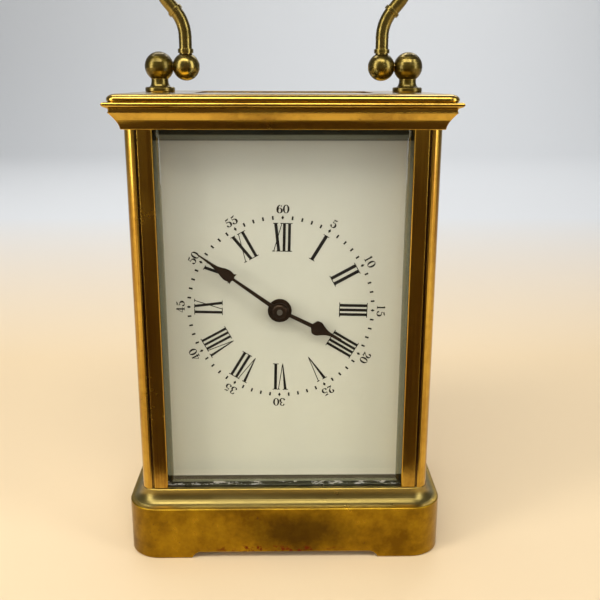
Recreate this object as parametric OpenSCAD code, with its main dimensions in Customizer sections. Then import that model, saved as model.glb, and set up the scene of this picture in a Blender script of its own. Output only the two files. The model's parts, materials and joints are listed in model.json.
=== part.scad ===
// Carriage clock: a glazed brass case with a bail handle, a rear door, and an
// eight-day movement with a lever platform. Millimetres, +Z up, front towards -Y,
// origin at the middle of the plinth's underside.

/* [Case] */
// Width across the four pillars
case_w = 73.4; // [72:0.2:80]
// Depth across the four pillars
case_d = 61.4; // [61:0.2:66]
// Height of the plinth's flat top
plinth_h = 18; // [17:0.5:20]
// Length of the pillars between plinth and cornice
pillar_h = 90.4; // [89:0.2:96]
// Side of a pillar's square plan
pillar_side = 6.7; // [6.5:0.1:7.1]
// How far the plinth and the cornice stand out beyond the pillars
overhang = 3.7; // [3.5:0.1:4.5]
// Radius of the plinth's vertical corners
plinth_corner_r = 8; // [7:0.5:10]
// Thickness of the top plate
top_plate_t = 1.8; // [1.5:0.1:2]
// Thickness of the case glasses
glass_t = 2; // [1.6:0.1:2.1]
// Width of the bevel ground round each glass
bevel_w = 2.2; // [1.5:0.1:3]

/* [Handle] */
// Distance of each handle post from the middle
post_x = 32.3; // [32.3:0.1:33]
// Height of the handle's pivot above the top plate
pivot_rise = 6.35; // [6.2:0.05:7.5]
// Distance of each handle arm from the middle
arm_x = 25.35; // [24:0.05:25.35]
// Radius of the handle's round bar
arm_r = 1.65; // [1.2:0.01:1.8]
// Height of the grip's centre line above the pivot
grip_rise = 24.26; // [24:0.02:28]

/* [Dial and hands] */
// Depth of the dial's face behind the front of the pillars
dial_setback = 7.7; // [7.5:0.1:7.9]
// Thickness of the enamelled dial
dial_t = 1.2; // [0.8:0.1:1.4]
// Minute shown at rest
shown_minute = 51; // [0:0.1:59.9]
// Hour shown at rest, with its fraction
shown_hour = 3.883; // [0:0.001:11.999]
// Length of the minute hand
minute_len = 24.6; // [22:0.1:26]
// Length of the hour hand
hour_len = 17.2; // [16:0.1:19]

/* [Movement] */
// How far the movement sits to the right of the case's centre line
move_x = -1.15; // [-1.2:0.05:1.2]
// Height of the centre arbor
arbor_z = 64.05; // [63.5:0.05:64.5]
// Half width of the movement plates
plate_half_w = 27; // [26.5:0.1:27]
// Height of the movement plates' top edge
plates_top = 92; // [91.8:0.1:92.4]
// Thickness of the movement plates
plate_t = 1.8; // [1.6:0.1:2]
// Teeth of the barrel's great wheel
great_teeth = 80; // [80]
// Teeth of the second wheel
second_teeth = 72; // [72]
// Teeth of the centre wheel
centre_teeth = 75; // [75]
// Teeth of the third wheel
third_teeth = 80; // [80]
// Teeth of the contrate wheel
contrate_teeth = 70; // [70]

/* [Hidden] */
$fn = 48;
far = 200;          // longer than the clock, for cutters that run right through
eps = 0.01;         // overlap that keeps a union or a cut clean

// Colours
brass = [0.66, 0.50, 0.22];
bright_brass = [0.80, 0.64, 0.32];
steel = [0.62, 0.63, 0.65];
blued = [0.12, 0.10, 0.10];
glass = [0.75, 0.85, 0.80, 0.35];
enamel = [0.93, 0.91, 0.84];
ruby = [0.70, 0.05, 0.15];

// Case levels and half sizes
hx = case_w / 2;
hy = case_d / 2;
cornice_z = plinth_h + pillar_h;
cornice_h = 6.1;
rim_z = cornice_z + cornice_h;
top_z = rim_z + top_plate_t;
screw_x = hx - pillar_side / 2;      // case screws stand on the pillars' axes
screw_y = hy - pillar_side / 2;
frame_x = hx - 14;                   // half opening of the plinth's web
cavity = [hx - 8.6, hy - 9];         // half size of the hollow under the plinth
cover = [hx - 5, hy - 5];            // half size of the bottom cover's recess
cover_z = 2;
cover_t = 1.2;
web_z = 13;                          // underside of the web that carries the movement
fit = 0.04;                          // radial running clearance of a pivot
thread_gap = 0.02;                   // radial gap between a screw and its hole

// Depths along Y
glass_y = -hy + 0.8;                 // outer face of the front glass
dial_y = -hy + dial_setback;         // face of the dial
front_y = -17;                       // front face of the front plate
front_in = front_y + plate_t;        // its inner face
back_in = 11;                        // inner face of the back plate
back_y = back_in + plate_t;          // its outer face

// Door
door_half = hx - pillar_side - 0.3;
door_in = hy - 4.1;
door_out = hy - 1.3;
door_t = door_out - door_in;
door_z0 = plinth_h + 0.3;
door_z1 = cornice_z - 0.3;
hinge_x = door_half - door_t / 2 - 0.1;
hinge_y = (door_in + door_out) / 2;
hinge_pin_r = 0.7;
stile_w = 4;
knob_x = stile_w / 2 - door_half;
knob_z = arbor_z - 1;

// Handle
pivot_z = top_z + pivot_rise;
post_ball_r = 3.75;
post_flat = 3.55;                    // from the ball's centre to the flat that faces the arm
pin_reach = 2.2;                     // depth of the pin's blind hole beyond the ball's centre
arm_ball_r = 3.5;
arm_flat = 3.3;                      // from the ball's centre to the flat that faces the post
handle_pin_r = 0.95;

// Wheel train, seen from the front, measured from the centre arbor: [x, z]
second_m = 0.35;
great_m = 0.4;
centre_m = 0.28;
third_m = 0.24;
motion_m = 0.35;
minute_teeth = 36;
hour_teeth = 40;
leaves = 12;                         // leaves of the second, centre and cannon pinions
fine_leaves = 10;                    // leaves of the third, contrate and minute pinions
escape_leaves = 7;
function reach(a, b, m) = (a + b) * m / 2;
centre_at = [0, 0];
second_at = [9, -sqrt(pow(reach(second_teeth, leaves, second_m), 2) - 81)];
barrel_at = [0, second_at[1] - sqrt(pow(reach(great_teeth, leaves, great_m), 2) - 81)];
third_at = [-8, sqrt(pow(reach(centre_teeth, fine_leaves, centre_m), 2) - 64)];
contrate_at = [0, third_at[1] + sqrt(pow(reach(third_teeth, fine_leaves, third_m), 2) - 64)];
motion_reach = reach(minute_teeth, leaves, motion_m);
hour_m = 2 * motion_reach / (hour_teeth + fine_leaves);
motion_at = [motion_reach * cos(-50), motion_reach * sin(-50)];

// Gears in mesh: the follower's tooth angle from the driver's, along the line of centres
function heading(from, to) = atan2(to[1] - from[1], to[0] - from[0]);
function meshed(driver_angle, driver, follower, line) =
    line + 180 + 180 / follower - (driver_angle - line) * driver / follower;
contrate_angle = 90;
third_angle = meshed(contrate_angle, fine_leaves, third_teeth, heading(contrate_at, third_at));
centre_angle = meshed(third_angle, fine_leaves, centre_teeth, heading(third_at, centre_at));
second_angle = meshed(centre_angle, leaves, second_teeth, heading(centre_at, second_at));
barrel_angle = meshed(second_angle, leaves, great_teeth, heading(second_at, barrel_at));
minute_wheel_angle = meshed(0, leaves, minute_teeth, heading(centre_at, motion_at));
hour_wheel_angle =
    meshed(minute_wheel_angle, fine_leaves, hour_teeth, heading(motion_at, centre_at));

// Contrate wheel and escapement, in plan: [x, y]
contrate_r = 8.95;                   // middle of the crown of teeth
crown_y = -3.4;                      // root of the crown teeth
crown_h = 1;
escape_pinion_r = contrate_r * escape_leaves / contrate_teeth;
escape_at = [0, crown_y - crown_h * 0.62 - escape_pinion_r];
line_angle = 43;                     // direction of the escape, lever and balance line
function on_line(d) = escape_at + d * [cos(line_angle), sin(line_angle)];
lever_at = on_line(4.9);
balance_at = on_line(11.7);
cock_foot = balance_at + [8.1, 4];
escape_foot = on_line(-6.8);
platform_half_w = 19;
platform_z = plates_top + 1.6;       // top of the platform plate
escape_wheel_z = platform_z + 1.6;
escape_cock_z = platform_z + 2.8;
balance_z = platform_z + 4.6;
hairspring_z = platform_z + 6.4;
balance_cock_z = platform_z + 7.4;

// Clickwork on the outside of the back plate, measured from the centre arbor: [x, z]
ratchet_r = 7.5;
ratchet_teeth = 24;
click_at = barrel_at + 10.2 * [cos(30), sin(30)];
spring_foot = click_at + [4.4, 9.6];
nose_angle = 75;                     // where the click's nose meets the ratchet, from its centre
click_y = back_y + 1.6;              // rear face of the ratchet wheel

// ---------------------------------------------------------------- shared shapes

// Prism with its outline in the Y-Z plane, centred along X
module prism_x(outline, length) {
    rotate([90, 0, 90]) linear_extrude(length, center = true) polygon(outline);
}

// Prism with its outline in the X-Z plane, centred along Y
module prism_y(outline, length) {
    rotate([90, 0, 0]) linear_extrude(length, center = true) polygon(outline);
}

// Prism with its outline in the X-Z plane that reaches from y = 0 forwards
module prism_forward(outline, length) {
    rotate([90, 0, 0]) linear_extrude(length) polygon(outline);
}

// A side profile of [stand-out, z] points mirrored into a closed outline
function both_sides(profile, half) = concat(
    [for (p = profile) [half + p[0], p[1]]],
    [for (i = [len(profile) - 1 : -1 : 0]) [-half - profile[i][0], profile[i][1]]]
);

// Moulding with square mitred corners
module mitred(profile, half_x, half_y) {
    intersection() {
        prism_y(both_sides(profile, half_x), far);
        prism_x(both_sides(profile, half_y), far);
    }
}

// Box from half sizes in X and Y and two heights
module box(half_x, half_y, z0, z1) {
    translate([-half_x, -half_y, z0]) cube([2 * half_x, 2 * half_y, z1 - z0]);
}

// Places children at a point seen from the front, drawn in X-Z and rising towards -Y
module at_arbor(place, y) {
    translate([move_x + place[0], y, arbor_z + place[1]]) rotate([90, 0, 0]) children();
}

// Cylinder along Y between two depths
module rod_y(place, r, y_back, y_front) {
    at_arbor(place, y_back) cylinder(r = r, h = y_back - y_front);
}

// Square bar along Y between two depths
module square_y(place, side, y_back, y_front) {
    at_arbor(place, y_back) translate([-side / 2, -side / 2, 0])
        cube([side, side, y_back - y_front]);
}

// Places children at a point in plan above the movement
module at_plan(place, z) {
    translate([move_x + place[0], place[1], z]) children();
}

// Gear outline: radial flanks below the pitch circle and tapered tips above it
function gear_points(teeth, m, tip, root, flank, crest) = [
    for (i = [0 : teeth - 1])
        for (q = [[-1, root, flank], [-1, 0, flank], [-1, tip, crest],
                  [1, tip, crest], [1, 0, flank], [1, root, flank]])
            let (r = m * (teeth / 2 + q[1]), a = 360 / teeth * (i + q[0] * q[2]))
                [r * cos(a), r * sin(a)]
];

module wheel_teeth(teeth, m, h) {
    linear_extrude(h) polygon(gear_points(teeth, m, 0.95, -1.25, 0.22, 0.08));
}

module pinion_leaves(teeth, m, h) {
    linear_extrude(h) polygon(gear_points(teeth, m, 0.8, -1.4, 0.2, 0.1));
}

// Cut-outs that leave a rim, a hub and spokes
module spokes(count, hub_r, rim_r, spoke_w, h) {
    for (i = [0 : count - 1]) rotate(360 / count * i) difference() {
        intersection() {
            cylinder(r = rim_r, h = h);
            rotate(90 / count - 45) translate([0, 0, -eps]) wedge(360 / count, rim_r * 2, h + 2 * eps);
        }
        translate([0, 0, -eps]) cylinder(r = hub_r, h = h + 2 * eps);
        for (side = [0, 360 / count]) rotate(side)
            translate([0, -spoke_w / 2, -eps]) cube([far, spoke_w, h + 2 * eps]);
    }
}

// Sector from 0 to the given angle of at most 180 degrees
module wedge(angle, r, h) {
    linear_extrude(h) polygon([
        [0, 0], for (k = [0 : 4]) r * [cos(angle * k / 4), sin(angle * k / 4)]
    ]);
}

// Slotted cheese-head screw, head up, shank down from z = 0
module screw(shank_r, length, head_r, head_h) {
    difference() {
        union() {
            cylinder(r = head_r, h = head_h);
            translate([0, 0, -length]) cylinder(r = shank_r - thread_gap, h = length + eps);
        }
        translate([-head_r, -head_r * 0.14, head_h * 0.55])
            cube([2 * head_r, head_r * 0.28, head_h]);
    }
}

// Pane with a bevelled front: width along X, height along Y, its face at z = t
module bevelled_pane(w, h, t, bevel, land) {
    function face(half) = [
        [-half, 0], [half, 0], [half, land], [half - bevel, t], [bevel - half, t], [-half, land]
    ];
    intersection() {
        prism_y(face(w / 2), 2 * h);
        prism_x(face(h / 2), 2 * w);
    }
}

// ---------------------------------------------------------------- case

cove_r = 2.9;                        // hollow of the plinth's top moulding
plinth_wall_z = plinth_h - 4.1;      // top edge of the plinth's upright wall
plinth_profile = concat(
    [[0, 0], [plinth_corner_r - 0.3, 0], [plinth_corner_r, 0.3],
     [plinth_corner_r, plinth_wall_z], [plinth_corner_r - 0.15, plinth_wall_z + 0.15]],
    [for (k = [0 : 8]) let (a = 270 - 11.25 * k)
        [plinth_corner_r - 0.3 + cove_r * cos(a), plinth_wall_z + 0.2 + cove_r + cove_r * sin(a)]],
    [[plinth_corner_r - 0.3 - cove_r, plinth_h - 0.2], [plinth_corner_r - 0.5 - cove_r, plinth_h],
     [0, plinth_h]]
);
plinth_cx = hx + overhang - plinth_corner_r;
plinth_cy = hy + overhang - plinth_corner_r;

// Relief under one side of the plinth, leaving a foot at each end
function foot_arch(half) = [
    [-half, -1], [half, -1], [half, 0], [half - 0.4, 0.8], [half - 1.1, 1.45], [half - 2, 1.85],
    [2 - half, 1.85], [1.1 - half, 1.45], [0.4 - half, 0.8], [-half, 0]
];

module base_frame() {
    color(brass) difference() {
        union() {
            prism_x(both_sides(plinth_profile, plinth_cy), 2 * plinth_cx);
            for (side = [0, 180]) rotate(side) translate([plinth_cx, 0, 0])
                prism_y(plinth_profile, 2 * plinth_cy);
            for (sx = [0, 1], sy = [0, 1]) mirror([sx, 0, 0]) mirror([0, sy, 0])
                translate([plinth_cx, plinth_cy, 0]) rotate_extrude(angle = 90, $fn = 96)
                    polygon(plinth_profile);
        }
        box(cavity[0], cavity[1], -1, web_z);
        box(cover[0], cover[1], -1, cover_z + cover_t);
        translate([-frame_x, front_in + 1, web_z - 1])
            cube([2 * frame_x, back_in - front_in - 2, plinth_h]);
        prism_y(foot_arch(hx - 12.6), far);
        prism_x(foot_arch(hy - 12.6), far);
        for (sx = [-1, 1], sy = [-1, 1]) translate([sx * screw_x, sy * screw_y, 0]) {
            translate([0, 0, -1]) cylinder(r = 2.6, h = 6);
            cylinder(r = 1.5, h = plinth_h + 1);
        }
        for (sx = [-1, 1], sy = [-1, 1]) translate([sx * (hx - 7), sy * (hy - 7), 0])
            cylinder(r = 0.8, h = cover_z + cover_t + 4);
        movement_screw_places() translate([0, 0, web_z - 1]) cylinder(r = 1.3, h = 8);
        translate([hinge_x, hinge_y, plinth_h - 1.6]) cylinder(r = hinge_pin_r + fit, h = 3);
    }
}

module bottom_cover() {
    color(brass) difference() {
        box(cover[0] - 0.15, cover[1] - 0.15, cover_z, cover_z + cover_t);
        for (sx = [-1, 1], sy = [-1, 1]) translate([sx * (hx - 7), sy * (hy - 7), cover_z - 1])
            cylinder(r = 0.8, h = cover_t + 2);
    }
}

// Plan of a pillar: outer corner at the origin, X and Y run inwards
round_r = 2.7;
groove_w = 0.45;
groove_d = 0.5;
function pillar_plan(glazed_front) = concat(
    [[pillar_side - 0.2, 0], [round_r + groove_w + 0.15, 0], [round_r + groove_w, 0.15],
     [round_r + groove_w, groove_d], [round_r, groove_d]],
    [for (k = [0 : 10]) let (a = 270 - 9 * k) round_r * [1 + cos(a), 1 + sin(a)]],
    [[groove_d, round_r], [groove_d, round_r + groove_w], [0.15, round_r + groove_w],
     [0, round_r + groove_w + 0.15], [0, pillar_side - 0.2], [0.2, pillar_side],
     [1.3, pillar_side], [1.3, pillar_side - 0.8], [1.5 + glass_t, pillar_side - 0.8],
     [1.5 + glass_t, pillar_side], [pillar_side, pillar_side]],
    glazed_front ? [[pillar_side, 0.9 + glass_t], [pillar_side - 0.8, 0.9 + glass_t],
                    [pillar_side - 0.8, 0.7], [pillar_side, 0.7]] : [],
    [[pillar_side, 0.2]]
);

module pillar(left, front) {
    translate([0, 0, plinth_h]) mirror([left ? 0 : 1, 0, 0]) mirror([0, front ? 0 : 1, 0])
        translate([-hx, -hy, 0]) difference() {
            linear_extrude(pillar_h) polygon(pillar_plan(front));
            translate([pillar_side / 2, pillar_side / 2, -1]) cylinder(r = 1.3, h = 9);
            translate([pillar_side / 2, pillar_side / 2, pillar_h - 8]) cylinder(r = 1.3, h = 9);
        }
}

module pillar_front_left() { color(brass) pillar(true, true); }
module pillar_front_right() { color(brass) pillar(false, true); }
module pillar_rear_left() { color(brass) pillar(true, false); }
module pillar_rear_right() { color(brass) pillar(false, false); }

// Cornice profile: stand-out from the pillars, height above the pillars
cornice_profile = concat(
    [[0.2, 0]],
    [for (k = [0 : 9]) [0.35 + 2.1 * pow(k / 9, 1.6), 0.15 + 3.55 * k / 9]],
    [[2.55, 3.75], [2.55, 3.9], [2.4, 4], [2.4, 4.55], [2.6, 4.75], [overhang - 0.35, 5.1]],
    [for (a = [-60 : 20 : 80]) [overhang - 0.45 + 0.45 * cos(a), 5.6 + 0.45 * sin(a)]],
    [[overhang - 0.6, cornice_h]]
);

module cornice() {
    color(brass) difference() {
        translate([0, 0, cornice_z]) mitred(cornice_profile, hx, hy);
        box(hx - 8, hy - 8, cornice_z - 1, rim_z + 1);
        for (sx = [-1, 1], sy = [-1, 1]) translate([sx * screw_x, sy * screw_y, cornice_z]) {
            translate([0, 0, -1]) cylinder(r = 1.5, h = cornice_h + 2);
            translate([0, 0, cornice_h - 2]) cylinder(r = 2.6, h = 3);
        }
        for (sx = [-1, 1]) translate([sx * post_x, 0, rim_z - 4]) cylinder(r = 1.5, h = 5);
        translate([hinge_x, hinge_y, cornice_z - 1]) cylinder(r = hinge_pin_r + fit, h = 2.6);
    }
}

plate_half = [hx + 3, hy + 3];       // half size of the top plate
plate_corner_r = 2.5;
rim_profile = concat(
    [[0, 0], [plate_corner_r - 0.4, 0], [plate_corner_r - 0.1, 0.15], [plate_corner_r, 0.4]],
    [for (a = [0 : 12 : 84]) [plate_corner_r - 2.2 + 2.2 * cos(a), top_plate_t - 1.2 + 1.2 * sin(a)]],
    [[plate_corner_r - 2.2, top_plate_t], [0, top_plate_t]]
);
window = [hx - 14, hy - 14];         // half size of the window in the top

module top_plate() {
    color(brass) difference() {
        hull() for (sx = [-1, 1], sy = [-1, 1])
            translate([sx * (plate_half[0] - plate_corner_r), sy * (plate_half[1] - plate_corner_r), rim_z])
                rotate_extrude() polygon(rim_profile);
        box(window[0], window[1], rim_z - 1, top_z + 1);
        for (sx = [-1, 1]) translate([sx * post_x, 0, rim_z - 1]) cylinder(r = 1.5, h = 4);
        top_frame_screw_places() translate([0, 0, -1.5]) cylinder(r = 0.8, h = 2.3);
    }
}

module top_frame_screw_places() {
    for (sx = [-1, 1], sy = [-1, 1])
        translate([sx * (window[0] + 3), sy * (window[1] - 8), rim_z]) children();
}

module top_glass() {
    color(glass) union() {
        box(window[0] + 1.9, window[1] + 1.9, rim_z - 1.9, rim_z);
        translate([0, 0, rim_z - eps]) bevelled_pane(
            2 * window[0] - 0.4, 2 * window[1] - 0.4, top_plate_t - 0.2, bevel_w, 0.5);
    }
}

module top_glass_frame() {
    color(brass) difference() {
        box(window[0] + 4, window[1] + 4, rim_z - 2.7, rim_z);
        box(window[0] + 2, window[1] + 2, rim_z - 1.9, rim_z + 1);
        box(window[0], window[1], rim_z - 4, rim_z);
        top_frame_screw_places() translate([0, 0, -4]) cylinder(r = 0.8, h = 5);
    }
}

pane_z = plinth_h + 0.05;
pane_h = pillar_h - 0.1;

module front_glass() {
    color(glass) translate([0, glass_y + glass_t, pane_z + pane_h / 2]) rotate([90, 0, 0])
        bevelled_pane(2 * (hx - pillar_side + 0.7), pane_h, glass_t, bevel_w, glass_t / 2);
}

module side_glass() {
    translate([hx - 1.4 - glass_t, 0, pane_z + pane_h / 2]) rotate([90, 0, 90])
        bevelled_pane(2 * (hy - pillar_side + 0.7), pane_h, glass_t, bevel_w, glass_t / 2);
}

module side_glass_left() { color(glass) mirror([1, 0, 0]) side_glass(); }
module side_glass_right() { color(glass) side_glass(); }

module door_frame() {
    color(brass) difference() {
        union() {
            translate([-door_half, door_in, door_z0])
                cube([door_half + hinge_x, door_t, door_z1 - door_z0]);
            translate([hinge_x, hinge_y, door_z0]) cylinder(r = door_t / 2, h = door_z1 - door_z0);
        }
        translate([stile_w - door_half, 0, door_z0 + stile_w])
            cube([2 * (door_half - stile_w), far, door_z1 - door_z0 - 2 * stile_w]);
        translate([stile_w - 1.2 - door_half, 0, door_z0 + stile_w - 1.2])
            cube([2 * (door_half - stile_w + 1.2), door_in + 1.8,
                  door_z1 - door_z0 - 2 * stile_w + 2.4]);
        for (z = [door_z0 - 1, door_z1 - 3]) translate([hinge_x, hinge_y, z])
            cylinder(r = hinge_pin_r, h = 4);
        translate([knob_x, door_out - 2, knob_z]) rotate([-90, 0, 0]) cylinder(r = 0.8, h = 3);
    }
}

module door_glass() {
    glass_w = 2 * (door_half - stile_w) + 2;
    glass_h = door_z1 - door_z0 - 2 * stile_w + 2;
    color(glass) translate([0, door_in + 0.1, (door_z0 + door_z1) / 2]) rotate([-90, 0, 0])
        bevelled_pane(glass_w, glass_h, 1.7, bevel_w, 0.9);
}

module door_knob() {
    color(bright_brass) translate([knob_x, door_out, knob_z]) rotate([-90, 0, 0])
        rotate_extrude() polygon([
            [0, -2], [0.8, -2], [0.8, 0], [1.5, 0], [1.5, 0.5], [0.9, 0.8], [0.8, 1.6],
            for (a = [-60 : 20 : 80]) [2 * cos(a), 3 + 1.2 * sin(a)],
            [0, 4.2]
        ]);
}

module door_pins() {
    color(steel) {
        translate([hinge_x, hinge_y, plinth_h - 1.5]) cylinder(r = hinge_pin_r, h = 4.8);
        translate([hinge_x, hinge_y, door_z1 - 3]) cylinder(r = hinge_pin_r, h = 4.8);
    }
}

module handle_post(side) {
    color(brass) translate([side * post_x, 0, 0]) difference() {
        rotate_extrude() polygon([
            [0, top_z - 5.7], [1.5, top_z - 5.7], [1.5, top_z], [3.7, top_z],
            [3.85, top_z + 0.25], [3.85, top_z + 1], [3.6, top_z + 1.25],
            for (k = [0 : 5]) [3 - 0.8 * sin(18 * k), top_z + 2.85 - 1.6 * cos(18 * k)],
            for (a = [-54 : 12 : 78]) [post_ball_r * cos(a), pivot_z + post_ball_r * sin(a)],
            [0, pivot_z + post_ball_r]
        ]);
        translate([0, 0, pivot_z]) rotate([0, -90 * side, 0]) {
            translate([0, 0, -pin_reach]) cylinder(r = handle_pin_r + fit, h = 10);
            translate([-5, -5, post_flat]) cube(10);
        }
    }
}

module handle_post_left() { handle_post(-1); }
module handle_post_right() { handle_post(1); }

// Handle arm: upright, an outward sweep, a short slope, then an inward turn to the grip
sweep_start = 7.35;                  // height of the first bend above the pivot
sweep_r = 9.83;
sweep_angle = 40;
slope_len = 3.11;
turn_r = 5;
swell = 0.04;                        // slight swelling of the bar where two lengths join

module arm() {
    rise = sweep_start + sweep_r * sin(sweep_angle);
    out = sweep_r * (1 - cos(sweep_angle));
    cylinder(r = arm_r, h = sweep_start);
    translate([0, 0, sweep_start]) sphere(r = arm_r + swell);
    translate([sweep_r, 0, sweep_start]) rotate([90, 0, 0]) rotate(180 - sweep_angle)
        rotate_extrude(angle = sweep_angle) translate([sweep_r, 0]) circle(r = arm_r);
    translate([out, 0, rise]) rotate([0, sweep_angle, 0]) {
        cylinder(r = arm_r, h = slope_len);
        cylinder(r = arm_r + 0.35, h = 0.9, center = true);
        translate([-turn_r, 0, slope_len]) rotate([90, 0, 0])
            rotate_extrude(angle = 90 + sweep_angle) translate([turn_r, 0]) circle(r = arm_r);
    }
    translate([0, 0, 3.4]) cylinder(r = arm_r + 0.35, h = 1);
}

module handle() {
    grip_end = arm_x + sweep_r * (1 - cos(sweep_angle)) + slope_len * sin(sweep_angle)
        - turn_r * cos(sweep_angle);
    grip_z = pivot_z + grip_rise;
    color(brass) difference() {
        union() {
            for (side = [0, 1]) mirror([side, 0, 0]) {
                translate([arm_x, 0, pivot_z]) {
                    arm();
                    intersection() {
                        sphere(r = arm_ball_r);
                        translate([-5, -5, -5]) cube([5 + arm_flat, 10, 10]);
                    }
                }
                translate([grip_end, 0, grip_z]) sphere(r = arm_r + swell);
            }
            translate([0, 0, grip_z]) rotate([0, 90, 0]) translate([0, 0, -grip_end])
                rotate_extrude() polygon([
                    [0, 0], [arm_r, 0], [arm_r, 7], [2.1, 7.2], [2.3, 7.7], [2.1, 8.2], [1.7, 8.5],
                    for (k = [1 : 9]) [1.7 + 0.75 * sin(18 * k), 8.5 + (grip_end - 8.5) * k / 5],
                    [1.7, 2 * grip_end - 8.5], [2.1, 2 * grip_end - 8.2],
                    [2.3, 2 * grip_end - 7.7], [2.1, 2 * grip_end - 7.2],
                    [arm_r, 2 * grip_end - 7], [arm_r, 2 * grip_end], [0, 2 * grip_end]
                ]);
        }
        for (side = [-1, 1]) translate([side * arm_x, 0, pivot_z]) rotate([0, 90, 0])
            cylinder(r = handle_pin_r, h = 10, center = true);
    }
}

module handle_pins() {
    pin_in = arm_x - arm_ball_r + 0.4;
    color(bright_brass) for (side = [0, 1]) mirror([side, 0, 0])
        translate([pin_in, 0, pivot_z]) rotate([0, 90, 0])
            cylinder(r = handle_pin_r, h = post_x + pin_reach - 0.2 - pin_in);
}

module case_screws() {
    color(steel) for (sx = [-1, 1], sy = [-1, 1]) {
        translate([sx * screw_x, sy * screw_y, 5]) mirror([0, 0, 1]) rotate(30 * sx)
            screw(1.3, plinth_h + 2, 2.5, 1.8);
        translate([sx * screw_x, sy * screw_y, rim_z - 2]) rotate(50 * sy)
            screw(1.3, 11.5, 2.5, 1.8);
    }
}

module cover_screws() {
    color(steel) {
        for (sx = [-1, 1], sy = [-1, 1]) translate([sx * (hx - 7), sy * (hy - 7), cover_z])
            mirror([0, 0, 1]) rotate(40 * sy) screw(0.8, 4, 1.4, 0.7);
        top_frame_screw_places() translate([0, 0, -2.7]) mirror([0, 0, 1]) screw(0.8, 3.4, 1.2, 0.7);
    }
}

// ---------------------------------------------------------------- dial and hands

foot_places = [[-20, 26 - arbor_z], [20, 26 - arbor_z], [-20, 87 - arbor_z], [20, 87 - arbor_z]];

module dial_plate() {
    color(enamel) difference() {
        prism_x([
            [dial_y, plinth_h + 0.1], [dial_y, cornice_z - 1.7], [dial_y + 0.5, cornice_z - 1],
            [dial_y + dial_t, cornice_z - 1], [dial_y + dial_t, plinth_h + 0.1]
        ], 2 * door_half);
        rod_y(centre_at, 2.4, dial_y + dial_t + 1, dial_y - 1);
    }
}

module dial_feet() {
    color(bright_brass) for (p = foot_places) rod_y(p, 0.9, front_y + 1.3, dial_y + dial_t);
}

// Turns a hand to its place on the dial, clockwise from twelve
module pointing(turns) {
    rotate(-360 * turns) children();
}

// Round hub of a hand, as the lower part of its outline, from one side of the stem to the other
function hub(r, stem) = [for (k = [0 : 18]) let (a = -asin(stem / r) - (360 - 2 * asin(stem / r)) * k / 18)
    r * [sin(-a), cos(a)]];

module hour_hand() {
    color(blued) at_arbor(centre_at, dial_y - 1.5) pointing(shown_hour / 12) difference() {
        linear_extrude(0.4) polygon(concat(
            hub(3, 0.45),
            [[-0.5, 8.9]],
            [for (a = [208 : -8 : 136]) [1.85 * cos(a), 10.5 + 1.85 * sin(a)]],
            [[-0.9, 12.6], [-0.6, 13.3], [-0.42, 14.2], [-0.15, hour_len],
             [0.15, hour_len], [0.42, 14.2], [0.6, 13.3], [0.9, 12.6]],
            [for (a = [44 : -8 : -28]) [1.85 * cos(a), 10.5 + 1.85 * sin(a)]],
            [[0.5, 8.9]]
        ));
        translate([0, 0, -1]) cylinder(r = 1.9, h = 3);
    }
}

module minute_hand() {
    color(blued) at_arbor(centre_at, dial_y - 2.5) pointing(shown_minute / 60) difference() {
        linear_extrude(0.4) polygon(concat(
            hub(2.2, 0.5),
            [[-0.33, 14], [-0.8, 14.15], [-1.5, 14.05], [-1.15, 14.6], [-1.35, 15.3], [-1.4, 16],
             [-1.15, 17.1], [-0.75, 18], [-0.45, 18.9], [-0.3, 20.5], [-0.12, minute_len],
             [0.12, minute_len], [0.3, 20.5], [0.45, 18.9], [0.75, 18], [1.15, 17.1],
             [1.4, 16], [1.35, 15.3], [1.15, 14.6], [1.5, 14.05], [0.8, 14.15], [0.33, 14]]
        ));
        translate([0, 0, -1]) cylinder(r = 0.7, h = 3);
    }
}

module hand_collet() {
    color(blued) at_arbor(centre_at, dial_y - 2.9) difference() {
        rotate_extrude() polygon([[0, 0], [1.8, 0], [1.8, 0.25], [1.4, 0.55], [0, 0.55]]);
        translate([0, 0, -1]) cylinder(r = 0.7, h = 3);
    }
}

module cannon_pinion() {
    color(steel) at_arbor(centre_at, front_y - 0.3) difference() {
        union() {
            pinion_leaves(leaves, motion_m, 1.6);
            cylinder(r = 1.25, h = -0.3 + front_y - dial_y + 2.5);
        }
        translate([0, 0, -1]) cylinder(r = 0.7, h = 12);
    }
}

module minute_wheel() {
    color(bright_brass) at_arbor(motion_at, front_y - 0.6) difference() {
        union() {
            rotate(minute_wheel_angle) wheel_teeth(minute_teeth, motion_m, 1);
            translate([0, 0, 1 - eps]) rotate(minute_wheel_angle)
                pinion_leaves(fine_leaves, hour_m, 2.1);
        }
        translate([0, 0, -1]) cylinder(r = 0.7 + fit, h = 6);
    }
}

module minute_wheel_stud() {
    color(steel) rod_y(motion_at, 0.7, front_in, front_y - 3.9);
}

module hour_wheel() {
    color(bright_brass) at_arbor(centre_at, front_y - 2.3) difference() {
        union() {
            rotate(hour_wheel_angle) wheel_teeth(hour_teeth, hour_m, 1);
            cylinder(r = 1.9, h = front_y - dial_y + 1.9 - 2.3);
        }
        translate([0, 0, -1]) cylinder(r = 1.25 + fit, h = 12);
    }
}

// ---------------------------------------------------------------- movement frame

bar_side = 5;
lower_bar_x = plate_half_w - bar_side;
upper_bar_x = 13;
pivot_r = 0.5;

// The four plate screws' places, on the ends of the bars: [x, z]
function bar_ends() = [
    for (sx = [-1, 1]) [sx * (lower_bar_x + bar_side / 2), plinth_h + bar_side / 2 - arbor_z],
    for (sx = [-1, 1]) [sx * (upper_bar_x + bar_side / 2), plates_top - bar_side / 2 - arbor_z]
];

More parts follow.
